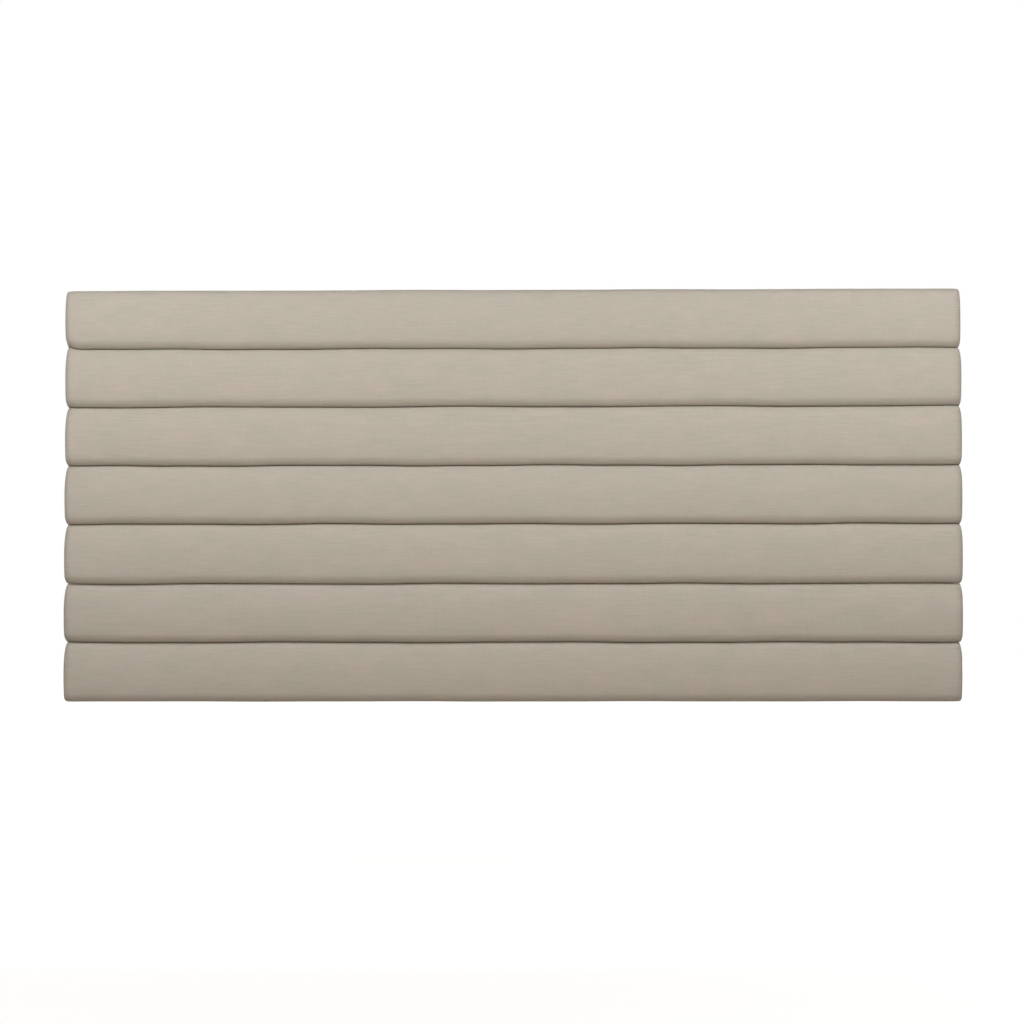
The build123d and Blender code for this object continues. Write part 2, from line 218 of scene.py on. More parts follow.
def linenMaterial(look):
    material, tree, shader = newMaterial(
        "linen_plain_weave", Roughness=0.95, Specular_IOR_Level=0.1, Sheen_Weight=0.05, Sheen_Roughness=0.6)
    place = addNode(tree, "Attribute", attribute_name="clothPlace").outputs["Vector"]
    cloud, slub, crossSlub = [mottle(tree, place, look[part]) for part in ("cloud", "slub", "crossSlub")]
    streaks = addNode(
        tree, "Math", {0: crossSlub, 1: look["crossShare"], 2: slub}, operation="MULTIPLY_ADD").outputs[0]
    tint = addNode(tree, "ValToRGB", {"Fac": cloud}, stops=look["colours"]).outputs["Color"]
    tone = addNode(tree, "MapRange", {
        "Value": streaks, "From Min": look["streakRange"][0], "From Max": look["streakRange"][1],
        "To Min": 1 - look["contrast"], "To Max": 1 + look["contrast"]}).outputs[0]
    colour = addNode(tree, "HueSaturation", {"Color": tint, "Value": tone}).outputs["Color"]
    warp, weft = [
        addNode(tree, "TexWave", {
            "Vector": place, "Scale": waveScale(look["thread"]), "Distortion": look["wander"],
        }, bands_direction=axis).outputs["Fac"]
        for axis in ("X", "Y")
    ]
    weave = addNode(tree, "Math", {0: warp, 1: weft}, operation="ADD").outputs[0]
    slubs = addNode(tree, "Bump", {"Height": streaks, "Distance": look["slubRelief"]}).outputs["Normal"]
    threads = addNode(tree, "Bump", {"Height": weave, "Distance": look["threadRelief"], "Normal": slubs})
    connect(tree, shader, Base_Color=colour, Normal=threads.outputs["Normal"])
    return material


linen = linenMaterial(linenLook)

# Polyester wadding: a lofted web of white fibres, carded and bonded, so it looks like dense fluff

waddingLook = {
    "colours": ((0.3, "d9d8d2"), (0.7, "f2f1ec")),
    "tuft": (9 * mm, 9 * mm, 9 * mm), "tuftRelief": 1.2 * mm,
    "fibre": (6 * mm, 0.8 * mm, 6 * mm), "fibreRelief": 0.4 * mm,
}


def waddingMaterial(look):
    material, tree, shader = newMaterial(
        "polyester_wadding", Roughness=0.95, Specular_IOR_Level=0.2, Sheen_Weight=0.4, Sheen_Roughness=0.5)
    place = addNode(tree, "TexCoord").outputs["Object"]
    tufts = mottle(tree, place, look["tuft"], detail=4.0)
    fibres = mottle(tree, place, look["fibre"], detail=3.0)
    colour = addNode(tree, "ValToRGB", {"Fac": tufts}, stops=look["colours"]).outputs["Color"]
    lumps = addNode(tree, "Bump", {"Height": tufts, "Distance": look["tuftRelief"]}).outputs["Normal"]
    fluff = addNode(tree, "Bump", {"Height": fibres, "Distance": look["fibreRelief"], "Normal": lumps})
    connect(tree, shader, Base_Color=colour, Normal=fluff.outputs["Normal"])
    return material


wadding = waddingMaterial(waddingLook)

# Polyurethane foam, cut from a block: open cells give a fine pitted face with no shine, and painted shade
# darkens the pits

foamLook = {
    # the darker stop colours the bottom of each pit: painted shade in the pits
    "colours": ((0.1, "d6c68e"), (0.6, "ecdfae")),
    "cell": 1.6 * mm,  # real cells are near 0.5 mm and would not show
    "cellRelief": 0.6 * mm,
}


def foamMaterial(look):
    material, tree, shader = newMaterial("polyurethane_foam", Roughness=0.95, Specular_IOR_Level=0.2)
    place = addNode(tree, "TexCoord").outputs["Object"]
    cells = addNode(tree, "TexVoronoi", {"Vector": place, "Scale": 1 / look["cell"]}).outputs["Distance"]
    # The colour is darkest at each cell's middle, where the pit is deepest: painted shade in the pits
    colour = addNode(tree, "ValToRGB", {"Fac": cells}, stops=look["colours"]).outputs["Color"]
    pits = addNode(tree, "Bump", {"Height": cells, "Distance": look["cellRelief"]})
    connect(tree, shader, Base_Color=colour, Normal=pits.outputs["Normal"])
    return material


foam = foamMaterial(foamLook)
print("soft materials made")

# Upholstered planks: a linen cover over wadding over foam, each a crowned bar with drawn-in ends

cushionLook = {
    "crownRadius": 290 * mm, "crownSink": 2 * mm,  # the fullest line lies a little below the middle
    # How far above or below the middle the face begins to turn away, and how far back it falls by the seam
    "topRoll": (10 * mm, 3.5 * mm), "bottomRoll": (25 * mm, 2 * mm),
    "topEdge": 20 * mm, "bottomEdge": 22 * mm, "endEdge": 16 * mm, "hemEdge": 1.5 * mm,  # how round each is
    "slack": 0.05 * mm,  # how far the linen's front edges draw back from their neighbours
    # At the left and the right end: how far the linen is drawn in, and how far below a seam that begins
    "tipInset": (5.2 * mm, 3.6 * mm), "tipSlope": (62 * mm, 38 * mm),
    "tipBend": (0.62, 0.38),  # how much of that is a slow slope, and how much turns in close to the seam
    "headBend": (0.3, 0.25),  # how much of it the panel's top corners take, and how much they round besides
    # How round the corners are: each plank's lower ones, the panel's lowest ones, and its top ones
    "tipCorner": 17 * mm, "footCorner": 9 * mm, "headCorner": 7 * mm,
    "tipReach": 70 * mm,  # how far in from the end the drawn-in corners are felt
    "endBulge": 0.6 * mm, "bulgeReach": 20 * mm,  # the ends are a little full between their corners
    # Unevenness of hand-pulled fabric: slow swells and tilts over the face, short puckers beside the seams
    "softness": 0.9 * mm, "softReach": 20 * mm,  # how far in front of the board it is felt in full
    "swells": ((620 * mm, 0.5), (260 * mm, 0.35), (120 * mm, 0.15)),
    "tilts": ((420 * mm, 0.6), (170 * mm, 0.4)),
    "pucker": 0.5 * mm, "puckerReach": 9 * mm,
    "topPuckers": ((58 * mm, 0.5), (31 * mm, 0.35), (19 * mm, 0.2)),
    "bottomPuckers": ((66 * mm, 0.5), (35 * mm, 0.35), (21 * mm, 0.2)),
    "backFollows": 0.3, "followReach": 25 * mm,  # how much of a seam's wander reaches the padding's back
    # Layers. The flange is how far the linen turns in behind, where the weave is pulled a little.
    "fabric": 1.0 * mm, "waddingLoft": 4.0 * mm, "flange": 26 * mm, "hemStretch": 1.01,
    "clothShift": 3.7,  # moves each plank's linen along the noise, so that no two look alike
    # How finely the meshes are made
    "coverMesh": 8 * mm, "innerMesh": 16 * mm, "crownMesh": 0.75,  # the last as a share of the others
    "bottomSteps": 9, "topSteps": 8, "endSteps": 6, "hemMesh": 9 * mm,
    "wallSteps": (0.2, 0.4, 0.6, 0.8),  # shares of the way from the back to the front
}

# How far each seam runs above its even place, from the top edge to the bottom edge
seamRise = [rise * mm for rise in (1.9, 0.4, 1.4, 1.1, 1.5, -0.9, -0.1, -1.1)]
# How far each plank stops short at its left and right end, from the top plank down
endTrim = [(left * mm, right * mm) for left, right in (
    (1.2, 1.6), (1.8, 0.2), (1.8, 0.0), (1.2, 0.0), (1.2, 0.0), (0.8, 0.6), (1.0, 2.6))]
seamLook = {
    "waves": ((460 * mm, 0.8 * mm), (240 * mm, 0.35 * mm)),
    "outerShare": 0.4,  # the panel's own top and bottom edges wander less
    # How far from an end a seam curls up, and how much: at the left, the right, and the first seam's left
    "curlReach": 34 * mm, "left": 2 * mm, "right": 0.5 * mm, "topLeft": 14 * mm,
}


def seamHeight(number, x):  # number: 0 for the panel's top edge, plankCount for its bottom edge
    look = seamLook
    outer = number in (0, plankCount)
    wander = waves(x, seeds["seam"] + number, *look["waves"])
    height = seamRise[number] + wander * (look["outerShare"] if outer else 1.0)
    if not outer:
        nearEnd = np.clip((np.abs(x) - halfWidth + look["curlReach"]) / look["curlReach"], 0, 1) ** 2
        left = look["topLeft"] if number == 1 else look["left"]
        height = height + nearEnd * np.where(x < 0, left, look["right"])
    return height


def tipInsets(height, number, end):  # how far an end is drawn in at a height; end: 0 left, 1 right
    look = cushionLook
    slope, (slow, sharp) = look["tipSlope"][end], look["tipBend"]
    corner = look["footCorner"] if number == plankCount - 1 else look["tipCorner"]
    lower = np.clip((-height - halfHeight + corner) / corner, 0, 1)
    upper = np.clip((height - halfHeight + slope) / slope, 0, 1)
    pulled = slow * upper ** 2 + sharp * (1 - np.sqrt(1 - upper ** 2))
    if number == 0:  # nothing presses on the top plank from above, so its upper corners stay squarer
        share, turn = look["headBend"]
        upper = np.clip((height - halfHeight + look["headCorner"]) / look["headCorner"], 0, 1)
        pulled = share * pulled + turn * (1 - np.sqrt(1 - upper ** 2))
    return look["tipInset"][end] * (pulled + 1 - np.sqrt(1 - lower ** 2))


def settlePlank(number, back):  # shapes a plain bar into plank number, counted from 0 at the top
    look = cushionLook

    def settle(places):
        x, depth, height = places[:, 0].copy(), -places[:, 1], places[:, 2].copy()
        fromTip = halfWidth - np.abs(x)
        inset = np.where(x < 0, endTrim[number][0] + tipInsets(height, number, 0),
                         endTrim[number][1] + tipInsets(height, number, 1))
        pull = (1 - smoothStep(fromTip / look["tipReach"])) * inset
        bulge = look["endBulge"] * np.clip(1 - (height / halfHeight) ** 2, 0, 1)
        bulge = bulge * (1 - smoothStep(fromTip / look["bulgeReach"])) * np.sin(
            math.pi * np.clip((depth - back) / (crownDepth - back), 0, 1))
        x = x - np.sign(x) * (pull - bulge)
        # The fabric is uneven over the face, and not where it lies on the board
        front = smoothStep((depth - boardFront) / look["softReach"])
        swell = waves(x, seeds["swell"] + number, *look["swells"])
        tilt = waves(x, seeds["tilt"] + number, *look["tilts"]) * height / halfHeight
        nearSeam = np.exp(-(halfHeight - np.abs(height)) / look["puckerReach"])
        puckers = np.where(height > 0, waves(x, seeds["topPucker"] + number, *look["topPuckers"]),
                           waves(x, seeds["bottomPucker"] + number, *look["bottomPuckers"]))
        depth = depth + front * (look["softness"] * (swell + tilt) + look["pucker"] * nearSeam * puckers)
        # The padding follows the seams, and the board behind it stays straight
        share = np.clip((halfHeight - height) / (2 * halfHeight), 0, 1)
        rise = (1 - share) * seamHeight(number, x) + share * seamHeight(number + 1, x)
        inFront = smoothStep((depth - boardFront) / look["followReach"])
        height = height + rise * (look["backFollows"] + (1 - look["backFollows"]) * inFront)
        return np.stack([x, -depth, height + plankMiddles[number]], axis=1)

    return settle


def plankSection(inset, spacing):  # a front from the bottom wall to the top wall, as (height, depth)
    look = cushionLook
    half, crown = halfHeight - look["slack"] - inset, look["crownRadius"] - inset
    centre, middle = crownDepth - look["crownRadius"], -look["crownSink"]

    def edge(side, radius, steps):  # rounds the crown over into a wall; side: -1 at the bottom, 1 at the top
        rise, reach = side * (half - radius) - middle, crown - radius
        lean = math.asin(rise / reach)
        turns = np.linspace(*sorted((side * quarterTurn, lean)), steps)
        return lean, [(middle + rise + radius * math.sin(a),
                       centre + reach * math.cos(lean) + radius * math.cos(a)) for a in turns]

    bottomLean, bottom = edge(-1, look["bottomEdge"] - inset, look["bottomSteps"])
    topLean, top = edge(1, look["topEdge"] - inset, look["topSteps"])
    steps = round(crown * (topLean - bottomLean) / (spacing * look["crownMesh"]))
    face = [(middle + crown * math.sin(a), centre + crown * math.cos(a))
            for a in np.linspace(bottomLean, topLean, steps + 1)[1:-1]]
    line = np.array(bottom + face + top)
    for side, (start, fall) in ((1, look["topRoll"]), (-1, look["bottomRoll"])):
        line[:, 1] -= fall * np.clip((side * line[:, 0] - start) / (halfHeight - start), 0, 1) ** 2
    return line


def plankStations(inset, spacing):  # along a plank, as (x, how much shallower, place on the cloth)
    tip, edge = halfWidth - inset, cushionLook["endEdge"] - inset
    turns = np.linspace(0, quarterTurn, cushionLook["endSteps"])
    rounded = [(tip - edge * (1 - math.cos(a)), edge * (1 - math.sin(a)),
                tip - edge + edge * (quarterTurn - a)) for a in turns]
    inner = np.linspace(-(tip - edge), tip - edge, round(2 * tip / spacing))[1:-1]
    return [(-x, drop, -u) for x, drop, u in rounded] + [(x, 0, x) for x in inner] + rounded[::-1]


# inset: how far this layer lies inside the linen's face. hem: how far its edge turns in behind.
def paddingMesh(name, number, inset, back, spacing, material, hem):
    look = cushionLook
    line, stations = plankSection(inset, spacing), plankStations(inset, spacing)
    arc = arcLengths(line)
    arc -= np.interp(0, line[:, 0], arc)
    wallShares = np.array([look["hemEdge"] / (line[0, 1] - back), *look["wallSteps"]])
    points, cloth = [], []

    def wall(station, end, out, shares):  # leans out behind the front edge until it nearly meets the next
        x, drop, u = station
        for share in shares:
            depth = back + share * (line[end, 1] - drop - back)
            points.append((x, -depth, line[end, 0] + out * (1 - share) * look["slack"]))
            cloth.append((u, arc[end] + out * (1 - share) * (line[end, 1] - back), 0))

    for station in stations:
        x, drop, u = station
        wall(station, 0, -1, wallShares)
        for (height, depth), v in zip(line, arc):
            points.append((x, -(depth - drop), height))
            cloth.append((u, v, 0))
        wall(station, -1, 1, wallShares[::-1])
    columns = len(line) + 2 * len(wallShares)
    faces = gridFaces(len(stations), columns)
    bottomRing = [i * columns for i in range(len(stations))]
    topRing = [i * columns + columns - 1 for i in range(len(stations))][::-1]

    capRings = []  # the flat ends: right, then left
    for side, (x, drop, u) in ((1, stations[-1]), (-1, stations[0])):
        start = len(points)
        for share in [*wallShares, 1.0]:
            for (height, depth), v in zip(line, arc):
                spread = 1 + (1 - share) * look["slack"] / line[-1, 0]
                points.append((x, -(back + share * (depth - drop - back)), height * spread))
                cloth.append((u + side * (1 - share) * (depth - drop - back), v, 0))
        cap = gridFaces(len(wallShares) + 1, len(line), start)
        faces += [face[::-1] if side > 0 else face for face in cap]
        capRings.append([start + i for i in range(len(line))][::side])

    # The edge turns over the back in rings that draw in towards the middle
    ring = bottomRing + capRings[0] + topRing + capRings[1]
    last, count = ring, len(ring)
    half, tip = halfHeight - look["slack"] - inset, halfWidth - inset
    reaches = []
    if hem:
        steps = max(2, round(hem / look["hemMesh"]))
        reaches = [look["hemEdge"], *np.linspace(look["hemEdge"], hem, steps)[1:]]
    for reach in reaches:
        start = len(points)
        for i in ring:
            x = float(np.clip(points[i][0], reach - tip, tip - reach))
            height = float(np.clip(points[i][2], min(reach - half, 0), max(half - reach, 0)))
            points.append((x, -back, height))
            cloth.append((x, height * look["hemStretch"], 0))
        faces += [(last[(i + 1) % count], last[i], start + i, start + (i + 1) % count) for i in range(count)]
        last = [start + i for i in range(count)]

    cloth = np.array(cloth) + (0, 0, number * look["clothShift"])
    piece = meshPiece(name, points, faces, material, cloth)
    movePoints(piece, settlePlank(number, back))
    return piece


def upholster(number):
    look = cushionLook
    nodes = [f"plank_{number + 1}_{layer}" for layer in ("cover", "wadding", "foam")]
    coverNode, waddingNode, foamNode = nodes
    coverBack, waddingBack, foamBack = [-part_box(node)[1][1] for node in nodes]
    waddingInset, foamInset = [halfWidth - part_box(node)[1][0] for node in (waddingNode, foamNode)]

    cover = paddingMesh(
        coverNode + "_linen", number, 0, coverBack, look["coverMesh"], linen, hem=look["flange"])
    thicken(cover, look["fabric"])
    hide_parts(coverNode)

    web = paddingMesh(
        waddingNode + "_web", number, waddingInset, waddingBack, look["innerMesh"], wadding, hem=0)
    thicken(web, look["waddingLoft"])
    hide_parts(waddingNode)

    block = paddingMesh(
        foamNode + "_block", number, foamInset, foamBack, look["innerMesh"], foam, hem=halfHeight)
    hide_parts(foamNode)


for number in range(plankCount):
    upholster(number)
print("planks upholstered")

# Edge bands: linen strips folded over the pine's outer edges, with a soft fold and mitred corners

bandLook = {
    "fabric": 1.0 * mm, "fold": 1.2 * mm, "mesh": 12 * mm,
    "flatSteps": (0.33, 0.66, 1), "foldTurns": (0.5, 1.05, quarterTurn),  # shares of a flat, and radians
    "ripple": 0.35 * mm, "ripples": ((140 * mm, 0.6), (47 * mm, 0.4)),
}


def edgeBand(node, seed):
    look = bandLook
    low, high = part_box(node)
    upright = high[2] - low[2] > high[0] - low[0]
    across, along = (0, 2) if upright else (2, 0)
    panelMiddle = 0 if upright else plankMiddles[plankCount // 2]
    outward = 1 if low[across] + high[across] > 2 * panelMiddle else -1
    outer = high[across] if outward > 0 else low[across]
    front, back, width = -low[1], -high[1], high[across] - low[across]
    # The strip's section as (how far in from the outer face, depth), from the front edge to the folded edge
    fold = look["fold"]
    section = [(0, front)] + [(0, front - (front - back - fold) * share) for share in look["flatSteps"]]
    section += [(fold * (1 - math.cos(a)), back + fold * (1 - math.sin(a))) for a in look["foldTurns"]]
    section += [(fold + (width - fold) * share, back) for share in look["flatSteps"]]
    arc = arcLengths(section)
    count = round((high[along] - low[along]) / look["mesh"])
    points, cloth = [], []
    for share in np.linspace(0, 1, count):
        for (inward, depth), v in zip(section, arc):
            start, end = low[along] + inward, high[along] - inward
            place = [0, -depth, 0]
            place[along] = start + share * (end - start)
            ripple = waves(np.array(place[along]), seed, *look["ripples"]) * look["ripple"]
            place[across] = outer - outward * (inward + float(ripple) * min(inward / width, 1))
            points.append(place)
            cloth.append((place[along], v, seed))
    faces = gridFaces(count, len(section))
    if (outward < 0) != upright:
        faces = [face[::-1] for face in faces]
    band = meshPiece(node + "_linen", points, faces, linen, cloth)
    thicken(band, look["fabric"])
    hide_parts(node)


for number, side in enumerate(("top", "bottom", "left", "right")):
    edgeBand("edge_band_" + side, seeds["band"] + number)
print("edge bands folded")

# Dust cover: black spun-bonded polypropylene, pressed with small dots that keep the fibres together

dustLook = {
    "colours": ((0.35, "111112"), (0.65, "303033")),
    "fibre": (14 * mm, 14 * mm, 3 * mm), "fibreRelief": 0.3 * mm,
    "dot": 2.4 * mm, "dotRelief": 0.2 * mm,  # the real dots are about 1 mm apart and would not show
    "thickness": 0.4 * mm, "cadThickness": 0.5 * mm, "mesh": 12 * mm,
    "stepStart": 2 * mm, "stepRun": 3 * mm,  # how far beside a band the cloth starts to climb it, and the run
    # Where the mesh's lines lie beside a band's edge, and how near to them the even ones may come
    "stepMesh": (-1.6 * mm, -0.4 * mm, 0.8 * mm, 2 * mm), "stepGap": 4 * mm,
    "sag": 1.4 * mm, "wrinkle": 0.3 * mm,
    "creases": ((85 * mm, 0.5), (37 * mm, 0.3)), "creaseRun": (0.8, 0.5),  # along X and along Z
    "crossCreases": ((110 * mm, 0.4), (52 * mm, 0.3)), "crossRun": (-0.35, 1.0),
}


def dustMaterial(look):
    material, tree, shader = newMaterial("spun_bonded_polypropylene", Roughness=0.7, Sheen_Weight=0.15)
    place = addNode(tree, "TexCoord").outputs["Object"]
    fibres = mottle(tree, place, look["fibre"], detail=5.0)
    dots = addNode(tree, "TexVoronoi", {
        "Vector": place, "Scale": 1 / look["dot"], "Randomness": 0.0,
    }, distance="CHEBYCHEV").outputs["Distance"]
    colour = addNode(tree, "ValToRGB", {"Fac": fibres}, stops=look["colours"]).outputs["Color"]
    web = addNode(tree, "Bump", {"Height": fibres, "Distance": look["fibreRelief"]}).outputs["Normal"]
    pressed = addNode(tree, "Bump", {"Height": dots, "Distance": look["dotRelief"], "Normal": web})
    connect(tree, shader, Base_Color=colour, Normal=pressed.outputs["Normal"])
    return material


def dustCover():
    look = dustLook
    low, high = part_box("dust_cover")
    stepX = -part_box("edge_band_left")[1][0]  # where the cloth comes down off the band onto the pine
    stepTop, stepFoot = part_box("edge_band_top")[0][2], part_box("edge_band_bottom")[1][2]
    # Depths of the middle of the CAD cloth's thickness: on the bands round the rim, and on the pine
    rim, plate = -high[1] + look["cadThickness"] / 2, -low[1] - look["cadThickness"] / 2

    def lines(start, end, steps):  # evenly spaced, with closer ones beside each step
        close = [step + shift for step in steps for shift in look["stepMesh"]]
        even = [v for v in np.linspace(start, end, round((end - start) / look["mesh"]))
                if all(abs(v - c) > look["stepGap"] for c in close)]
        return np.array(sorted(close + even))

    xs = lines(low[0], high[0], (-stepX, stepX))
    zs = lines(low[2], high[2], (stepFoot, stepTop))
    x, z = np.meshgrid(xs, zs, indexing="ij")
    overEdge = np.maximum.reduce([np.abs(x) - stepX, z - stepTop, stepFoot - z])
    depth = plate + (rim - plate) * smoothStep((overEdge + look["stepStart"]) / look["stepRun"])
    # Between the stiles and the rails nothing is behind the cloth, so it sags there and wrinkles a little
    stiles = sorted((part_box(f"frame_stile_{n + 1}") for n in range(stileCount)), key=lambda box: box[0][0])
    foot, top = stiles[0][0][2], stiles[0][1][2]
    creases = waves(x * look["creaseRun"][0] + z * look["creaseRun"][1], seeds["crease"], *look["creases"])
    creases = creases + waves(
        x * look["crossRun"][0] + z * look["crossRun"][1], seeds["crossCrease"], *look["crossCreases"])
    for nearer, further in zip(stiles, stiles[1:]):
        left, right = nearer[1][0], further[0][0]
        inX, inZ = np.clip((x - left) / (right - left), 0, 1), np.clip((z - foot) / (top - foot), 0, 1)
        hollow = np.sqrt(np.sin(math.pi * inX) * np.sin(math.pi * inZ))
        depth = depth + hollow * (look["sag"] + look["wrinkle"] * creases)
    points = np.stack([x, -depth, z], axis=-1).reshape(-1, 3)
    faces = [face[::-1] for face in gridFaces(len(xs), len(zs))]
    cloth = meshPiece("dust_cover_cloth", points, faces, dustMaterial(look))
    thicken(cloth, look["thickness"], offset=0)
    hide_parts("dust_cover")


dustCover()
print("dust cover stretched")

# Felt pads: pressed grey wool, die-cut, so the faces are matted and the edges slightly furry

feltLook = {
    "colours": ((0.35, "6f6d69"), (0.65, "94928c")), "mat": (3 * mm, 3 * mm, 3 * mm), "relief": 0.6 * mm,
    "corner": 5 * mm, "edge": 1.2 * mm, "cornerSteps": 6, "edgeSteps": 4,
    "faceSteps": (1.0, 0.6, 0.25),  # the flat faces' rings, as shares of half the height in from the rim
}


def feltMaterial(look):
    material, tree, shader = newMaterial(
        "pressed_wool_felt", Roughness=0.95, Specular_IOR_Level=0.2, Sheen_Weight=0.4, Sheen_Roughness=0.5)
    place = addNode(tree, "TexCoord").outputs["Object"]
    mat = mottle(tree, place, look["mat"], detail=5.0, roughness=0.7)
    colour = addNode(tree, "ValToRGB", {"Fac": mat}, stops=look["colours"]).outputs["Color"]
    matting = addNode(tree, "Bump", {"Height": mat, "Distance": look["relief"]})
    connect(tree, shader, Base_Color=colour, Normal=matting.outputs["Normal"])
    return material


felt = feltMaterial(feltLook)


def feltPad(node):
    look = feltLook
    low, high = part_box(node)
    edge, corner = look["edge"], look["corner"]
    middleX, middleZ = (low[0] + high[0]) / 2, (low[2] + high[2]) / 2
    halfX, halfZ = (high[0] - low[0]) / 2, (high[2] - low[2]) / 2
    back, front = -high[1], -low[1]
    # Rings from the middle of the back to the middle of the front, as (how far in from the rim, depth)
    bends = np.linspace(0, quarterTurn, look["edgeSteps"])
    rings = [(share * halfZ, back) for share in look["faceSteps"]]
    rings += [(edge * (1 - math.sin(a)), back + edge * (1 - math.cos(a))) for a in bends]
    rings += [(edge * (1 - math.cos(a)), front - edge * (1 - math.sin(a))) for a in bends]
    rings += [(share * halfZ, front) for share in look["faceSteps"][::-1]]
    quarters = ((1, 1), (-1, 1), (-1, -1), (1, -1))  # the sides of X and Z that each rounded corner lies on
    turns = [(*sides, q * quarterTurn + a) for q, sides in enumerate(quarters)
             for a in np.linspace(0, quarterTurn, look["cornerSteps"])]
    points = []
    for inward, depth in rings:
        radius, reach = max(corner - inward, 0), max(inward, corner)
        for sideX, sideZ, turn in turns:
            x = sideX * max(halfX - reach, 0) + radius * math.cos(turn)
            z = sideZ * max(halfZ - reach, 0) + radius * math.sin(turn)
            points.append((middleX + x, -depth, middleZ + z))
    count, faces = len(turns), []
    for start in range(0, count * (len(rings) - 1), count):
        for c in range(count):
            near, further = start + c, start + (c + 1) % count
            faces.append((near, further, further + count, near + count))
    pad = meshPiece(node + "_felt", points, faces, felt)
    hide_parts(node)


for place in ("left", "middle", "right"):
    feltPad("wall_pad_" + place)
print("felt pads cut")


# Rigid pieces keep their CAD shapes and get their finishes here

def dress(material, *names):
    for name in names:
        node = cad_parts[name]
        if not node.material_slots:
            node.data.materials.append(material)
        for slot in node.material_slots:
            slot.material = material


# Planed pine: soft pale wood, with wide bands of darker late wood along each member
pineLook = {
    "colours": ((0.1, "dcbf8e"), (0.75, "dcbf8e"), (1.0, "b98d55")),
    "ring": 7 * mm, "ringSpread": 2.4, "ringBands": 5.0,  # a blotch spans 2.4 rings and is cut into bands
    "grain": 260 * mm,
    "pore": 0.9 * mm, "poreRun": 0.2, "poreShare": 0.3, "poreRelief": 0.15 * mm,  # poreRun: of the grain
}


def pineMaterial(name, look, axis):  # axis: the direction of the grain, 0 along X or 2 along Z
    material, tree, shader = newMaterial(name, Roughness=0.6)
    place = addNode(tree, "TexCoord").outputs["Object"]
    ringSizes, poreSizes = [look["ring"] * look["ringSpread"]] * 3, [look["pore"]] * 3
    ringSizes[axis], poreSizes[axis] = look["grain"], look["grain"] * look["poreRun"]
    rings = mottle(tree, place, ringSizes, detail=1.0)
    pores = mottle(tree, place, poreSizes, detail=3.0)
    bands = addNode(tree, "Math", {0: rings, 1: look["ringBands"]}, operation="MULTIPLY").outputs[0]
    bands = addNode(tree, "Math", {0: bands}, operation="FRACT").outputs[0]
    mixed = addNode(
        tree, "Math", {0: pores, 1: look["poreShare"], 2: bands}, operation="MULTIPLY_ADD").outputs[0]
    colour = addNode(tree, "ValToRGB", {"Fac": mixed}, stops=look["colours"]).outputs["Color"]
    pitting = addNode(tree, "Bump", {"Height": pores, "Distance": look["poreRelief"]})
    connect(tree, shader, Base_Color=colour, Normal=pitting.outputs["Normal"])
    return material


# Birch plywood: a smooth pale veneer, and thin dark glue lines between the plies on the edges
plyLook = {
    "colours": ((0.3, "c9ab79"), (0.7, "dfc79c")), "figure": (180 * mm, 20 * mm, 9 * mm),
    "glue": "8b6a43", "ply": 1.5 * mm,
    "edgeTilt": 0.5,  # a surface that faces front or back by less than this is an edge
    "relief": 0.1 * mm,
}


def plywoodMaterial(look):
    material, tree, shader = newMaterial("birch_plywood", Roughness=0.55)
    place = addNode(tree, "TexCoord").outputs["Object"]
    figure = mottle(tree, place, look["figure"], detail=3.0)
    veneer = addNode(tree, "ValToRGB", {"Fac": figure}, stops=look["colours"]).outputs["Color"]
    plies = addNode(tree, "TexWave", {
        "Vector": place, "Scale": waveScale(look["ply"])}, bands_direction="Y").outputs["Fac"]
    normal = addNode(tree, "NewGeometry").outputs["Normal"]
    facing = addNode(tree, "SeparateXYZ", {"Vector": normal}).outputs["Y"]
    facing = addNode(tree, "Math", {0: facing}, operation="ABSOLUTE").outputs[0]
    onEdge = addNode(tree, "Math", {0: facing, 1: look["edgeTilt"]}, operation="LESS_THAN").outputs[0]
    lines = addNode(tree, "Math", {0: plies, 1: onEdge}, operation="MULTIPLY").outputs[0]
    colour = addNode(
        tree, "Mix", {"Factor": lines, "A": veneer, "B": hexColour(look["glue"])}, data_type="RGBA")
    grain = addNode(tree, "Bump", {"Height": figure, "Distance": look["relief"]})
    connect(tree, shader, Base_Color=colour.outputs["Result"], Normal=grain.outputs["Normal"])
    return material


# Turned beech: pinkish tan, even, with short dark flecks along the dowel
beechLook = {
    "colours": ((0.35, "b0835a"), (0.5, "d8b48a")), "fleck": (0.8 * mm, 0.8 * mm, 5 * mm),
    "relief": 0.1 * mm,
}


def beechMaterial(look):
    material, tree, shader = newMaterial("turned_beech", Roughness=0.5)
    place = addNode(tree, "TexCoord").outputs["Object"]
    flecks = mottle(tree, place, look["fleck"])
    colour = addNode(tree, "ValToRGB", {"Fac": flecks}, stops=look["colours"]).outputs["Color"]
    grain = addNode(tree, "Bump", {"Height": flecks, "Distance": look["relief"]})
    connect(tree, shader, Base_Color=colour, Normal=grain.outputs["Normal"])
    return material


# Bright zinc plating: a bluish metal, with a faint cloudy bloom left by the passivating bath
zincLook = {
    "colours": ((0.35, "a8aeb5"), (0.65, "c6cacd")), "bloom": (3 * mm, 3 * mm, 3 * mm),
    "screws": 0.3, "wire": 0.42,  # how rough each is
    "bloomRoughness": (-0.06, 0.1),  # how much the bloom shifts that
}


def zincMaterial(name, look, roughness):
    material, tree, shader = newMaterial(name, Metallic=1.0)
    place = addNode(tree, "TexCoord").outputs["Object"]
    bloom = mottle(tree, place, look["bloom"], detail=3.0)
    colour = addNode(tree, "ValToRGB", {"Fac": bloom}, stops=look["colours"]).outputs["Color"]
    rough = addNode(tree, "MapRange", {
        "Value": bloom, "To Min": roughness + look["bloomRoughness"][0],
        "To Max": roughness + look["bloomRoughness"][1]}).outputs[0]
    connect(tree, shader, Base_Color=colour, Roughness=rough)
    return material


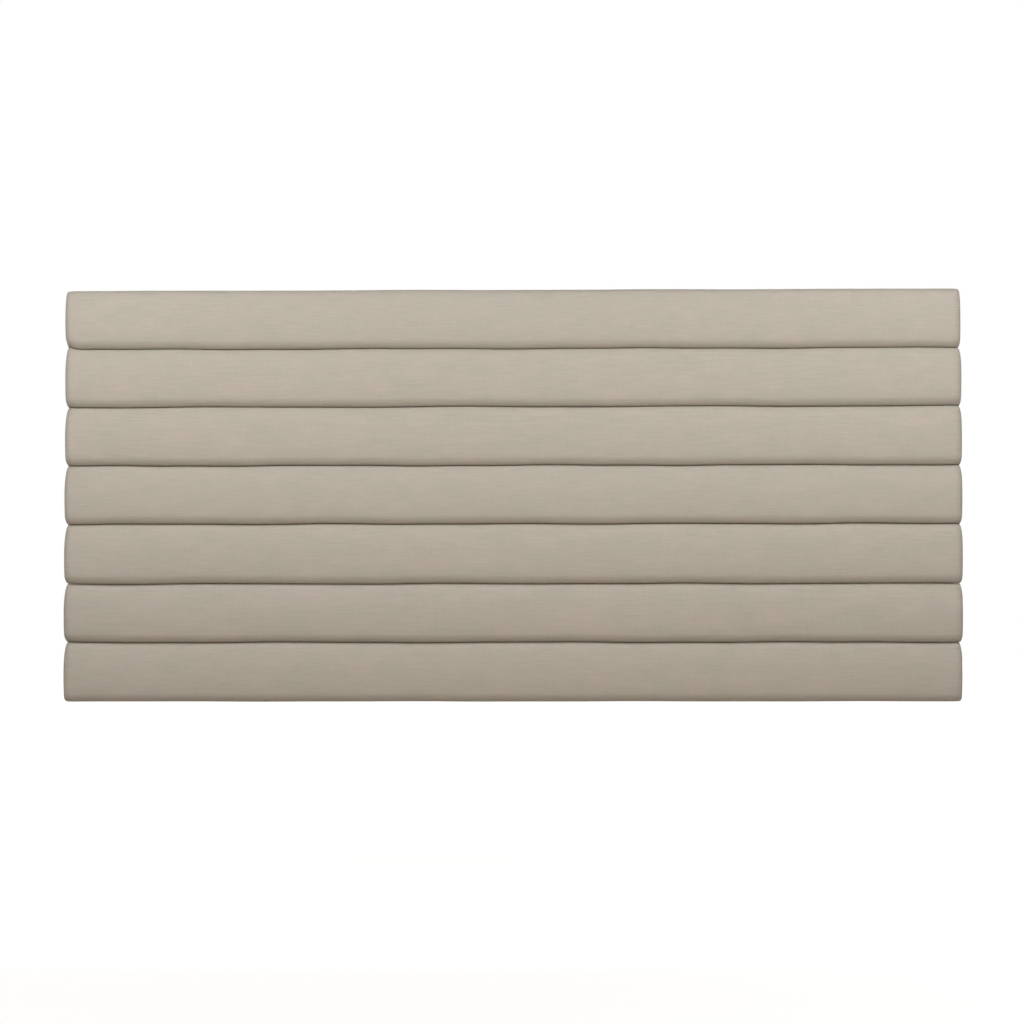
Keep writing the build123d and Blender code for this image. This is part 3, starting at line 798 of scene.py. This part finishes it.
# Mill-finish aluminium: extruded, so fine die lines run along the rail and draw out the highlights
aluminiumLook = {
    "colours": ((0.3, "a7abaf"), (0.7, "c2c5c8")), "dieLine": (700 * mm, 0.9 * mm, 0.9 * mm),
    "roughness": (0.28, 0.45), "relief": 0.05 * mm,
}


def aluminiumMaterial(look):
    material, tree, shader = newMaterial("mill_finish_aluminium", Metallic=1.0)
    place = addNode(tree, "TexCoord").outputs["Object"]
    lines = mottle(tree, place, look["dieLine"], detail=3.0)
    colour = addNode(tree, "ValToRGB", {"Fac": lines}, stops=look["colours"]).outputs["Color"]
    rough = addNode(tree, "MapRange", {
        "Value": lines, "To Min": look["roughness"][0], "To Max": look["roughness"][1]}).outputs[0]
    grooves = addNode(tree, "Bump", {"Height": lines, "Distance": look["relief"]})
    connect(tree, shader, Base_Color=colour, Roughness=rough, Normal=grooves.outputs["Normal"])
    return material


dress(pineMaterial("planed_pine_rails", pineLook, 0), "frame_top_rail", "frame_bottom_rail")
dress(pineMaterial("planed_pine_stiles", pineLook, 2), *[f"frame_stile_{n + 1}" for n in range(stileCount)])
dress(plywoodMaterial(plyLook), *[f"plank_{n + 1}_board" for n in range(plankCount)],
      *[f"corner_block_{level}_{side}" for level in ("top", "bottom") for side in ("left", "right")])
dress(beechMaterial(beechLook), "frame_dowels")
dress(zincMaterial("bright_zinc_plating", zincLook, zincLook["screws"]),
      "plank_screws", "panel_rail_screws")
dress(zincMaterial("galvanised_staple_wire", zincLook, zincLook["wire"]),
      "cover_staples", "dust_cover_staples")
dress(aluminiumMaterial(aluminiumLook), "panel_hanging_rail", "wall_hanging_rail")
print("rigid pieces finished")

# A pale floor under the hung panel and a white surround. Long soft lamps stand above and in front, two small
# ones light the upper corners, a faint warm one comes from below, and one behind lights the back.

stageLook = {
    "floor": "c9c5be", "floorDrop": 425 * mm, "floorReach": 30, "ambient": 0.16,  # floorReach in metres
    "nearGlow": 0.74, "farGlow": 1.0, "glowStart": 1.5, "glowEnd": 5.0,
}
lampLook = {  # places and sizes in metres
    "overhead": {"place": (0, -1.3, 1.1), "aim": (0, 0, -0.1), "size": (5.2, 0.5), "watts": 20.6},
    "front": {"place": (0, -1.35, -0.08), "aim": (0, 0, -0.08), "size": (5.2, 0.4), "watts": 21.2},
    "upperLeft": {"place": (-1.15, -0.75, 0.55), "aim": (-0.95, 0, 0), "size": (0.5, 0.3), "watts": 1.0},
    "upperRight": {"place": (1.15, -0.75, 0.55), "aim": (0.95, 0, 0), "size": (0.5, 0.3), "watts": 1.0},
    "low": {"place": (0, -1.0, -1.2), "aim": (0, 0, -0.8), "size": (4.0, 0.3), "watts": 1.3,
            "tint": "ffac5c"},
    "behind": {"place": (1.5, 4.5, 2.2), "aim": (0, 0, -0.4), "size": (4.0, 2.5), "watts": 90},
}


def seenByCamera(tree):  # 1 for what the camera sees, also by mirror or through glass, and 0 for other light
    path = addNode(tree, "LightPath")
    seen = path.outputs["Is Camera Ray"]
    for ray in ("Is Glossy Ray", "Is Transmission Ray"):
        seen = addNode(tree, "Math", {0: seen, 1: path.outputs[ray]}, operation="MAXIMUM").outputs[0]
    return seen


def floorMaterial(look):  # seen nearly white, with the object's shadow kept
    material, tree, shader = newMaterial(
        "pale_floor", Roughness=0.9, Base_Color=hexColour(look["floor"]), Emission_Color=white)
    place = addNode(tree, "TexCoord").outputs["Object"]
    distance = addNode(tree, "VectorMath", {0: place}, operation="LENGTH").outputs["Value"]
    spread = addNode(tree, "MapRange", {
        "Value": distance, "From Min": look["glowStart"], "From Max": look["glowEnd"],
        "To Min": look["nearGlow"], "To Max": look["farGlow"]}, interpolation_type="SMOOTHSTEP").outputs[0]
    glow = addNode(tree, "Math", {0: seenByCamera(tree), 1: spread}, operation="MULTIPLY").outputs[0]
    connect(tree, shader, Emission_Strength=glow)
    return material


floorHeight = coverBoxes[-1][0][2] - stageLook["floorDrop"]
floorCorners = [(x * stageLook["floorReach"], y * stageLook["floorReach"], floorHeight)
                for x, y in ((-1, -1), (1, -1), (1, 1), (-1, 1))]
floorMesh = bpy.data.meshes.new("floor")
floorMesh.from_pydata(floorCorners, [], [(0, 1, 2, 3)])
floorMesh.materials.append(floorMaterial(stageLook))
floor = bpy.data.objects.new("floor", floorMesh)
bpy.context.collection.objects.link(floor)

for name, lamp in lampLook.items():
    light = bpy.data.lights.new(name, "AREA")
    light.shape = "RECTANGLE"
    light.size, light.size_y = lamp["size"]
    light.energy = lamp["watts"]
    light.color = hexColour(lamp.get("tint", "ffffff"))[:3]
    holder = bpy.data.objects.new(name, light)
    holder.location = lamp["place"]
    holder.rotation_euler = (Vector(lamp["aim"]) - Vector(lamp["place"])).to_track_quat("-Z", "Y").to_euler()
    holder.visible_camera = False
    bpy.context.collection.objects.link(holder)

world = bpy.data.worlds.new("surround")
world.use_nodes = True
bpy.context.scene.world = world
worldTree, background = world.node_tree, world.node_tree.nodes["Background"]
strength = addNode(worldTree, "MapRange", {
    "Value": seenByCamera(worldTree), "To Min": stageLook["ambient"], "To Max": 1.0})
background.inputs["Color"].default_value = white
worldTree.links.new(strength.outputs[0], background.inputs["Strength"])
bpy.context.scene.view_settings.view_transform = "Standard"
print("stage and lamps set")
